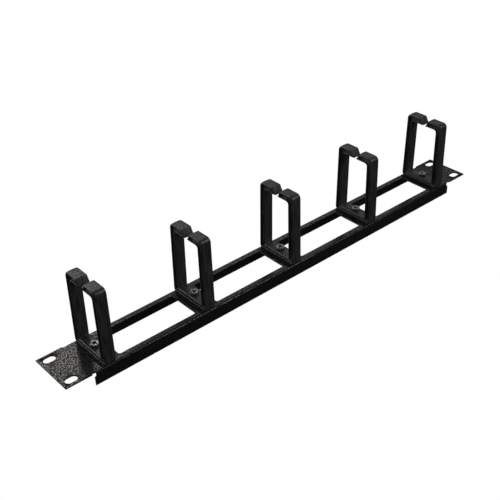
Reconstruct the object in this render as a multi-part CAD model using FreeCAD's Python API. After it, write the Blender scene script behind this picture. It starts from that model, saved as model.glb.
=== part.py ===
import FreeCAD, Part
import math
import os

# Horizontal cable manager, one rack unit high, for a 19-inch rack. Lengths are millimetres.
# A folded steel panel carries a row of open moulded rings, each held by one screw and nut.
# X runs along the panel, Y across its height, and Z points out of the panel towards the cables.
# The origin is the centre of the panel's back face, the plane that meets the rack's rails.

# Panel
PANEL_LENGTH = 482.6
PANEL_HEIGHT = 44.4
SHEET = 1.2
BEND_RADIUS = 0.6  # inside the bend
EAR_LENGTH = 25.9  # from the panel's end to the flange's end
FLANGE_DEPTH = 12.7  # from the front face to the flange's edge

# Relief cuts where each flange ends
RELIEF_WIDTH = 4.2
RELIEF_BITE = 1.3  # into the panel from its long edge
RELIEF_DROP = 4.6  # down the flange from the front face
RELIEF_FACE_CORNER = 1.0
RELIEF_FLANGE_CORNER = 1.8

# Slots for the rack's screws
SLOT_INSET = 8.75  # from the panel's end to the slot's centre
SLOT_PITCH_Y = 31.75
SLOT_LENGTH = 10.8
SLOT_WIDTH = 7.0

# Row of rings, and the windows between them
RING_COUNT = 5
RING_INSET = 15.4  # from the flange's end to the middle of the first ring
WEB_WIDTH = 23.0
WINDOW_HEIGHT = 32.3
WINDOW_CORNER = 1.5

# Ring: a hoop as wide at its foot as the panel is high, tapering towards its open top
RING_WIDTH = 10.4
RING_HEIGHT = 69.2
RING_TAPER = 2.6  # how much narrower the top is than the foot
LEG_AT_BASE = 6.8
LEG_AT_TOP = 6.2
BASE_THICKNESS = 5.5
TOP_THICKNESS = 6.8
GAP_AT_TOP = 9.8
GAP_AT_BOTTOM = 2.2
OUTER_TOP_RADIUS = 4.2
INNER_TOP_RADIUS = 2.6
FOOT_RADIUS = 2.4
SIDE_EDGE = 0.6
MOULD_DRAFT = 0.18  # lean of each face between the parting plane and the side
GROOVE_WALL = 1.6
GROOVE_DEPTH = 2.0
GROOVE_DRAFT = 0.15

# Fasteners, M4
THREAD_DIAMETER = 4.0
SCREW_LENGTH = 12.0
HEAD_DIAMETER = 8.0
HEAD_HEIGHT = 2.6
RECESS_SPAN = 4.4
RECESS_WING = 1.1
RECESS_DEPTH = 1.8
SCREW_TURN = 37.0  # degrees from one head's recess to the next, as each is driven home
NUT_ACROSS_FLATS = 7.0
NUT_HEIGHT = 3.2

# Clearances, on the radius
SCREW_HOLE_CLEARANCE = 0.25
NUT_CLEARANCE = 0.03  # stands in for the thread

BACK = 0.0
FRONT = BACK + SHEET
FLOOR = FRONT + BASE_THICKNESS
HALF_HEIGHT = PANEL_HEIGHT / 2
FLANGE_LENGTH = PANEL_LENGTH - 2 * EAR_LENGTH
SCREW_HOLE_RADIUS = THREAD_DIAMETER / 2 + SCREW_HOLE_CLEARANCE


def point(x, y, z=0.0):
    return FreeCAD.Vector(x, y, z)


def in_xy(z):
    return lambda p: point(p.x, p.y, z)


def in_xz(y):
    return lambda p: point(p.x, y, p.y)


def in_yz(x):
    return lambda p: point(x, p.x, p.y)


def rounded_wire(corners, place):
    """A closed outline through (u, v, radius) corners. A corner of radius 0 stays sharp."""
    spots = [point(u, v) for u, v, _ in corners]
    rounds = []
    for i, corner in enumerate(corners):
        radius = corner[2]
        before = spots[i - 1] - spots[i]
        after = spots[(i + 1) % len(spots)] - spots[i]
        half = before.getAngle(after) / 2
        before.normalize()
        after.normalize()
        middle = before + after
        middle.normalize()
        run = radius / math.tan(half)
        rise = radius / math.sin(half) - radius
        rounds.append((spots[i] + before * run, spots[i] + middle * rise, spots[i] + after * run))
    edges = []
    for i, (start, middle, end) in enumerate(rounds):
        if corners[i][2] > 0:
            edges.append(Part.Arc(place(start), place(middle), place(end)).toShape())
        following = rounds[(i + 1) % len(rounds)][0]
        edges.append(Part.makeLine(place(end), place(following)))
    return Part.Wire(edges)


def rectangle(x, y, length, height, radius):
    corners = []
    for side_x, side_y in ((-1, -1), (1, -1), (1, 1), (-1, 1)):
        corners.append((x + side_x * length / 2, y + side_y * height / 2, radius))
    return corners


def prism(corners, low, high):
    """An XY outline raised from low to high."""
    return Part.Face(rounded_wire(corners, in_xy(low))).extrude(point(0, 0, high - low))


def through_sheet(corners):
    return prism(corners, BACK - SHEET, FRONT + SHEET)


def round_through_sheet(x, y, radius):
    return Part.makeCylinder(radius, FRONT - BACK + 2 * SHEET, point(x, y, BACK - SHEET))


def ring_places():
    last = FLANGE_LENGTH / 2 - RING_INSET
    return [last * (2 * i / (RING_COUNT - 1) - 1) for i in range(RING_COUNT)]


# ---------------------------------------------------------------- panel


def channel():
    """The stretch of sheet between the ears: its face and both flanges, bent as one."""
    inside = HALF_HEIGHT - SHEET
    lip = FRONT - FLANGE_DEPTH
    outer_bend = BEND_RADIUS + SHEET
    profile = [
        (-HALF_HEIGHT, lip, 0),
        (-HALF_HEIGHT, FRONT, outer_bend),
        (HALF_HEIGHT, FRONT, outer_bend),
        (HALF_HEIGHT, lip, 0),
        (inside, lip, 0),
        (inside, BACK, BEND_RADIUS),
        (-inside, BACK, BEND_RADIUS),
        (-inside, lip, 0),
    ]
    section = Part.Face(rounded_wire(profile, in_yz(-FLANGE_LENGTH / 2)))
    return section.extrude(point(FLANGE_LENGTH, 0, 0))


def ear(end):
    """The flat end of the sheet. Its back stays a face of its own, the seat on the rack's rail."""
    x = end * (PANEL_LENGTH - EAR_LENGTH) / 2
    return prism(rectangle(x, 0, EAR_LENGTH, PANEL_HEIGHT, 0), BACK, FRONT)


def relief(end, side):
    """The cut that frees a flange's end: rounded both in the panel's face and in the flange."""
    x = end * FLANGE_LENGTH / 2
    y = side * HALF_HEIGHT
    reach = 2 * RELIEF_BITE
    face_cut = rectangle(x, y, RELIEF_WIDTH, reach, RELIEF_FACE_CORNER)
    flange_cut = rectangle(x, FRONT, RELIEF_WIDTH, 2 * RELIEF_DROP, RELIEF_FLANGE_CORNER)
    along_flange = Part.Face(rounded_wire(flange_cut, in_xz(y - reach))).extrude(point(0, 2 * reach, 0))
    return prism(face_cut, FRONT - FLANGE_DEPTH, FRONT + SHEET).common(along_flange)


def rack_slot(end, side):
    x = end * (PANEL_LENGTH / 2 - SLOT_INSET)
    y = side * SLOT_PITCH_Y / 2
    straight = SLOT_LENGTH - SLOT_WIDTH
    slot = through_sheet(rectangle(x, y, straight, SLOT_WIDTH, 0))
    for tip in (-1, 1):
        slot = slot.fuse(round_through_sheet(x + tip * straight / 2, y, SLOT_WIDTH / 2))
    return slot


def window(left, right):
    """The opening in the panel between two neighbouring rings."""
    length = right - left - WEB_WIDTH
    return through_sheet(rectangle((left + right) / 2, 0, length, WINDOW_HEIGHT, WINDOW_CORNER))


def make_panel():
    panel = channel().fuse([ear(-1), ear(1)])
    cuts = []
    for end in (-1, 1):
        for side in (-1, 1):
            cuts.append(relief(end, side))
            cuts.append(rack_slot(end, side))
    places = ring_places()
    for left, right in zip(places, places[1:]):
        cuts.append(window(left, right))
    for x in places:
        cuts.append(round_through_sheet(x, 0, SCREW_HOLE_RADIUS))
    return panel.cut(cuts)


# ---------------------------------------------------------------- ring


def drawn_in(corners, insets):
    """An anticlockwise outline with each side moved in, side i being the one that leaves corner i."""
    sides = []
    for i, (u, v, _) in enumerate(corners):
        next_u, next_v, _ = corners[(i + 1) % len(corners)]
        along = point(next_u - u, next_v - v)
        along.normalize()
        sides.append((point(u, v) + point(-along.y, along.x) * insets[i], along))
    moved = []
    for i, corner in enumerate(corners):
        start, along = sides[i]
        start_before, along_before = sides[i - 1]
        reach = (start - start_before).cross(along).z / along_before.cross(along).z
        spot = start_before + along_before * reach
        moved.append((spot.x, spot.y, corner[2]))
    return moved


def hoop_outline(wall, lean, foot):
    """The hoop's outline, parallel at wall from the outside and then leaning in at equal radii.

    Its seat on the panel is raised by foot instead.
    """
    top = FRONT + RING_HEIGHT
    base = PANEL_HEIGHT / 2
    crown = base - RING_TAPER / 2
    half = [
        (base, FRONT, FOOT_RADIUS - wall),
        (crown, top, OUTER_TOP_RADIUS - wall),
        (GAP_AT_TOP / 2, top, 0),
        (GAP_AT_BOTTOM / 2, top - TOP_THICKNESS, 0),
        (crown - LEG_AT_TOP, top - TOP_THICKNESS, INNER_TOP_RADIUS + wall),
        (base - LEG_AT_BASE, FLOOR, 0),
    ]
    outline = half + [(-y, z, radius) for y, z, radius in reversed(half)]
    return drawn_in(outline, [wall + lean] * (len(outline) - 1) + [foot])


def hoop_loft(near, near_x, far, far_x):
    wires = [rounded_wire(near, in_yz(near_x)), rounded_wire(far, in_yz(far_x))]
    return Part.makeLoft(wires, True, True)


def ring_body():
    """Two moulded halves that lean in from the parting plane, their side edges eased."""
    half_width = RING_WIDTH / 2
    shoulder = half_width - SIDE_EDGE
    parting = hoop_outline(0, 0, 0)
    drafted = hoop_outline(0, MOULD_DRAFT, 0)
    eased = hoop_outline(0, MOULD_DRAFT + SIDE_EDGE, SIDE_EDGE)
    body = []
    for side in (-1, 1):
        body.append(hoop_loft(parting, 0, drafted, side * shoulder))
        body.append(hoop_loft(drafted, side * shoulder, eased, side * half_width))
    return body[0].fuse(body[1:])


def ring_grooves():
    half_width = RING_WIDTH / 2
    mouth = hoop_outline(GROOVE_WALL, 0, GROOVE_WALL)
    bottom = hoop_outline(GROOVE_WALL, GROOVE_DRAFT, GROOVE_WALL + GROOVE_DRAFT)
    return [hoop_loft(mouth, s * half_width, bottom, s * (half_width - GROOVE_DEPTH)) for s in (-1, 1)]


def make_ring(x):
    hole = Part.makeCylinder(SCREW_HOLE_RADIUS, BASE_THICKNESS + 2 * SHEET, point(0, 0, FRONT - SHEET))
    ring = ring_body().cut(ring_grooves() + [hole])
    ring.translate(point(x, 0, 0))
    return ring


# ---------------------------------------------------------------- fasteners


def cross_recess():
    """The driver's cross-shaped pocket in the top of the head."""
    reach = RECESS_SPAN / 2
    side = RECESS_WING / 2
    corners = []
    for u, v in ((1, 0), (0, 1), (-1, 0), (0, -1)):
        corners.append((u * reach + v * side, v * reach - u * side, 0))
        corners.append((u * reach - v * side, v * reach + u * side, 0))
        corners.append(((u - v) * side, (u + v) * side, 0))
    return prism(corners, HEAD_HEIGHT - RECESS_DEPTH, HEAD_HEIGHT)


def make_screw(x, turn):
    head = Part.makeCylinder(HEAD_DIAMETER / 2, HEAD_HEIGHT)
    shank = Part.makeCylinder(THREAD_DIAMETER / 2, SCREW_LENGTH, point(0, 0, -SCREW_LENGTH))
    screw = head.fuse(shank).cut(cross_recess())
    screw.rotate(point(0, 0, 0), point(0, 0, 1), turn)
    screw.translate(point(x, 0, FLOOR))
    return screw


def make_nut(x):
    """A hexagon nut, its bore in place of a thread."""
    corner = NUT_ACROSS_FLATS / 2 / math.cos(math.pi / 6)
    spots = []
    for i in range(6):
        spots.append((corner * math.cos(i * math.pi / 3), corner * math.sin(i * math.pi / 3), 0))
    bore = Part.makeCylinder(THREAD_DIAMETER / 2 + NUT_CLEARANCE, NUT_HEIGHT)
    nut = prism(spots, 0, NUT_HEIGHT).cut(bore)
    nut.translate(point(x, 0, BACK - NUT_HEIGHT))
    return nut


# ---------------------------------------------------------------- sub-parts


def main():
    os.makedirs("parts", exist_ok=True)
    parts = {"panel": make_panel()}
    for number, x in enumerate(ring_places(), start=1):
        parts[f"cable_ring_{number}"] = make_ring(x)
        parts[f"ring_screw_{number}"] = make_screw(x, number * SCREW_TURN)
        parts[f"nut_{number}"] = make_nut(x)
    for name, shape in parts.items():
        for solid in shape.Solids:
            solid.exportStep(f"parts/{name}.step")


main()
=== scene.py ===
import math
import bmesh
import bpy
from mathutils import Matrix, Vector


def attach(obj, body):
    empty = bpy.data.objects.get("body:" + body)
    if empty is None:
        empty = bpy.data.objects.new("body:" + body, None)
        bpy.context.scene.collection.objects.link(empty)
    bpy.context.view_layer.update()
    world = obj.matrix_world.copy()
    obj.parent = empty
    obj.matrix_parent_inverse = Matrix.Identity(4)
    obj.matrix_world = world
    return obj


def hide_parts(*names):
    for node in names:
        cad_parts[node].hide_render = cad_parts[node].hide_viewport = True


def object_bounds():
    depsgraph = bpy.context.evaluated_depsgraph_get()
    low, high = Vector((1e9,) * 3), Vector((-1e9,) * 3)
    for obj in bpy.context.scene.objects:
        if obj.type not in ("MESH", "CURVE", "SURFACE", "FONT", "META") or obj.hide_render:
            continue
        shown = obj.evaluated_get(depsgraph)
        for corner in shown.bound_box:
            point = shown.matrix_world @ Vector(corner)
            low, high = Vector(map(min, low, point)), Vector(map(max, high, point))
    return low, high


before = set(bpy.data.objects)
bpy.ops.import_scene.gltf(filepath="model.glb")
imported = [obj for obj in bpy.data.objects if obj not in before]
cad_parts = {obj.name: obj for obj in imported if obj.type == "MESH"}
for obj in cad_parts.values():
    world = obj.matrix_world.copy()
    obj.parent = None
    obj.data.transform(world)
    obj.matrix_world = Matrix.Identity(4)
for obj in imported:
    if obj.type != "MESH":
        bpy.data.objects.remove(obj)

cad_low, cad_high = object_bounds()

# A cable manager of black painted steel and black moulded rings, on a white sweep.
# Lengths are metres, angles degrees and light powers watts, unless a name says otherwise.

# Edges eased so that they catch the light
PANEL_EASE = 0.0002
SHORTEST_PANEL_EDGE = 0.004  # shorter ones, round the slots and corners, stay sharp
MOULDED_EASE = 0.0003
FASTENER_EASE = 0.0003
EASE_STEPS = 2
SHARP_ANGLE = 35
CAD_WELD = 1e-6
EASED_WELD = 5e-6

# Textures, by their scale per metre and how far their bumps stand out
PEBBLES = 800
PEBBLE_BUMP = 0.00012
PLASTIC_GRAIN = 900
PLASTIC_GRAIN_BUMP = 0.00015
FLOW_STREAKS = (1100, 60, 60)  # narrow across the hoop, long along it
FLOW_BUMP = 0.0002
STEEL_WEAR = 900
STEEL_BUMP = 0.00004
EVEN = (1, 1, 1)

# Floor and sky
SWEEP_RADIUS = 6.0
SWEEP_SIDES = 64
SKY = 0.045

# Camera, at the photograph's viewing angle
AZIMUTH = -40.76  # from the front long edge, towards the panel's -X end
ELEVATION = 33.67
ROLL = -1.42
DISTANCE = 0.8247
TARGET = (-0.0149, 0.0248, 0)
LENS_MM = 64.46
SENSOR_MM = 36.0

# ---------------------------------------------------------------- node helpers


def grey(value):
    return (value, value, value)


def material(name):
    made = bpy.data.materials.new(name)
    made.use_nodes = True
    tree = made.node_tree
    tree.nodes.clear()
    output = tree.nodes.new("ShaderNodeOutputMaterial")
    shader = tree.nodes.new("ShaderNodeBsdfPrincipled")
    tree.links.new(shader.outputs["BSDF"], output.inputs["Surface"])
    return made, tree, shader


def node(tree, kind, sockets):
    made = tree.nodes.new(kind)
    for key, value in sockets.items():
        made.inputs[key].default_value = value
    return made


def noise(tree, stretch, sockets):
    """Noise in the piece's own coordinates, multiplied by stretch."""
    coordinates = tree.nodes.new("ShaderNodeTexCoord")
    mapping = node(tree, "ShaderNodeMapping", {"Scale": stretch})
    tree.links.new(coordinates.outputs["Object"], mapping.inputs["Vector"])
    made = node(tree, "ShaderNodeTexNoise", sockets)
    tree.links.new(mapping.outputs["Vector"], made.inputs["Vector"])
    return made.outputs["Fac"]


def ramp(tree, source, target, low, high):
    """Drive the target socket by a pattern, between a low and a high (position, colour) stop."""
    made = tree.nodes.new("ShaderNodeValToRGB")
    for element, (position, colour) in zip(made.color_ramp.elements, (low, high)):
        element.position = position
        element.color = (*colour, 1)
    tree.links.new(source, made.inputs["Fac"])
    tree.links.new(made.outputs["Color"], target)


def bump(tree, height, distance, strength, target):
    made = node(tree, "ShaderNodeBump", {"Distance": distance, "Strength": strength})
    tree.links.new(height, made.inputs["Height"])
    tree.links.new(made.outputs["Normal"], target)
    return made


# ---------------------------------------------------------------- materials


def textured_paint():
    """Black powder coat: glossy pebbles with a duller skin between them."""
    made, tree, shader = material("textured_paint")
    pebbles = {"Scale": PEBBLES, "Detail": 4, "Roughness": 0.6, "Distortion": 0.3}
    grain = noise(tree, EVEN, pebbles)
    skin = (0.005, 0.0047, 0.0043)
    ramp(tree, grain, shader.inputs["Base Color"], (0.42, skin), (0.6, grey(0.002)))
    ramp(tree, grain, shader.inputs["Roughness"], (0.46, grey(0.7)), (0.56, grey(0.06)))
    bump(tree, grain, PEBBLE_BUMP, 0.6, shader.inputs["Normal"])
    return made


def moulded_plastic():
    """Black moulded plastic: satin, with flow streaks along the hoop and a soft grain."""
    made, tree, shader = material("moulded_plastic")
    streaks = noise(tree, FLOW_STREAKS, {"Scale": 1, "Detail": 3, "Roughness": 0.6})
    grain = noise(tree, EVEN, {"Scale": PLASTIC_GRAIN, "Detail": 3, "Roughness": 0.6})
    pale_streak = (0.075, 0.070, 0.072)
    ramp(tree, streaks, shader.inputs["Base Color"], (0.35, grey(0.010)), (0.7, pale_streak))
    ramp(tree, grain, shader.inputs["Roughness"], (0.4, grey(0.5)), (0.62, grey(0.24)))
    relief = bump(tree, grain, PLASTIC_GRAIN_BUMP, 0.5, shader.inputs["Normal"])
    bump(tree, streaks, FLOW_BUMP, 0.5, relief.inputs["Normal"])
    return made


def plated_steel():
    """Black-plated screw steel, bright where it is worn."""
    made, tree, shader = material("plated_steel")
    shader.inputs["Metallic"].default_value = 1.0
    wear = noise(tree, EVEN, {"Scale": STEEL_WEAR, "Detail": 3})
    ramp(tree, wear, shader.inputs["Base Color"], (0.35, grey(0.10)), (0.7, grey(0.42)))
    ramp(tree, wear, shader.inputs["Roughness"], (0.3, grey(0.22)), (0.75, grey(0.38)))
    bump(tree, wear, STEEL_BUMP, 0.5, shader.inputs["Normal"])
    return made


def pale_floor():
    """White that glows by itself, and so takes no shadow."""
    made, tree, shader = material("pale_floor")
    shader.inputs["Base Color"].default_value = (0, 0, 0, 1)
    shader.inputs["Specular IOR Level"].default_value = 0.0
    shader.inputs["Emission Color"].default_value = (1, 1, 1, 1)
    shader.inputs["Emission Strength"].default_value = 1.0
    return made


paint = textured_paint()
plastic = moulded_plastic()
steel = plated_steel()

# ---------------------------------------------------------------- pieces


def softened(name, finish, width, shortest=0):
    """The CAD node again, with its sharp edges eased, apart from those up to shortest."""
    work = bmesh.new()
    work.from_mesh(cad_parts[name].data)
    bmesh.ops.remove_doubles(work, verts=work.verts, dist=CAD_WELD)
    least_angle = math.radians(SHARP_ANGLE)
    sharp = [
        edge for edge in work.edges
        if edge.calc_face_angle(0) > least_angle and edge.calc_length() > shortest
    ]
    bmesh.ops.bevel(
        work, geom=sharp, offset=width, segments=EASE_STEPS, profile=0.5, affect="EDGES"
    )
    bmesh.ops.remove_doubles(work, verts=work.verts, dist=EASED_WELD)
    mesh = bpy.data.meshes.new("soft_" + name)
    work.to_mesh(mesh)
    work.free()
    mesh.materials.append(finish)
    mesh.polygons.foreach_set("material_index", [0] * len(mesh.polygons))
    mesh.shade_smooth()
    piece = bpy.data.objects.new("soft_" + name, mesh)
    bpy.context.scene.collection.objects.link(piece)
    # The larger faces set the normals, so they stay flat beside their eased edges.
    evening = piece.modifiers.new("evening", "WEIGHTED_NORMAL")
    evening.weight = 100
    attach(piece, "root")
    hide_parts(name)


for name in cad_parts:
    if name == "panel":
        softened(name, paint, PANEL_EASE, SHORTEST_PANEL_EDGE)
    elif name.startswith("cable_ring"):
        softened(name, plastic, MOULDED_EASE)
    else:
        softened(name, steel, FASTENER_EASE)

# ---------------------------------------------------------------- floor

# An open white drum, whose bottom is the floor and whose wall is the backdrop.
sweep = bmesh.new()
bmesh.ops.create_cone(
    sweep, cap_ends=True, segments=SWEEP_SIDES,
    radius1=SWEEP_RADIUS, radius2=SWEEP_RADIUS, depth=SWEEP_RADIUS,
)
bmesh.ops.translate(sweep, verts=sweep.verts, vec=(0, 0, cad_low.z + SWEEP_RADIUS / 2))
lid = max(sweep.faces, key=lambda face: face.calc_center_median().z)
bmesh.ops.delete(sweep, geom=[lid], context="FACES_ONLY")
floor_mesh = bpy.data.meshes.new("floor")
sweep.to_mesh(floor_mesh)
sweep.free()
floor_mesh.materials.append(pale_floor())
floor = bpy.data.objects.new("floor", floor_mesh)
bpy.context.scene.collection.objects.link(floor)
# Its glow neither lights the part nor shows in its gloss.
floor.visible_diffuse = False
floor.visible_glossy = False

# ---------------------------------------------------------------- light

world = bpy.data.worlds.new("studio")
world.use_nodes = True
background = world.node_tree.nodes["Background"]
background.inputs["Color"].default_value = (1, 1, 1, 1)
background.inputs["Strength"].default_value = SKY
bpy.context.scene.world = world


def softbox(name, place, aim, size, power, colour=(1, 1, 1)):
    data = bpy.data.lights.new(name, "AREA")
    data.shape = "RECTANGLE"
    data.size, data.size_y = size
    data.energy = power
    data.color = colour
    lamp = bpy.data.objects.new(name, data)
    lamp.location = place
    lamp.rotation_mode = "QUATERNION"
    lamp.rotation_quaternion = (Vector(aim) - Vector(place)).to_track_quat("-Z", "Y")
    bpy.context.scene.collection.objects.link(lamp)


middle = (0, 0, 0)
left_ear = (-0.23, 0, 0)
warm = (1, 0.95, 0.89)
softbox("key", (0.32, 1.2, 1.1), left_ear, size=(0.34, 0.34), power=1.6, colour=warm)
softbox("band", (1.6, 1.5, 1.41), (0.1, 0, 0), size=(1.9, 0.5), power=3.4)
softbox("front", (0.9, -1.1, 1.15), middle, size=(0.8, 0.8), power=8)
softbox("rim", (-0.8, 1.25, 0.6), (-0.05, 0, 0), size=(1.5, 1.1), power=12)
softbox("fill", (-1.3, -1.3, 1.2), middle, size=(1.4, 0.8), power=4)

# ---------------------------------------------------------------- camera

around = math.radians(AZIMUTH)
above = math.radians(ELEVATION)
turn = math.radians(ROLL)
back = Vector((
    math.sin(around) * math.cos(above),
    -math.cos(around) * math.cos(above),
    math.sin(above),
))
right = Vector((0, 0, 1)).cross(back).normalized()
up = back.cross(right)
side = right * math.cos(turn) + up * math.sin(turn)
top = up * math.cos(turn) - right * math.sin(turn)

camera_data = bpy.data.cameras.new("camera")
camera_data.sensor_width = SENSOR_MM
camera_data.lens = LENS_MM
camera_data.clip_start = 0.01
camera_data.clip_end = 50
camera = bpy.data.objects.new("camera", camera_data)
placed = Matrix.Translation(Vector(TARGET) + back * DISTANCE)
camera.matrix_world = placed @ Matrix((side, top, back)).transposed().to_4x4()
bpy.context.scene.collection.objects.link(camera)
bpy.context.scene.camera = camera

bpy.context.scene.view_settings.view_transform = "Standard"
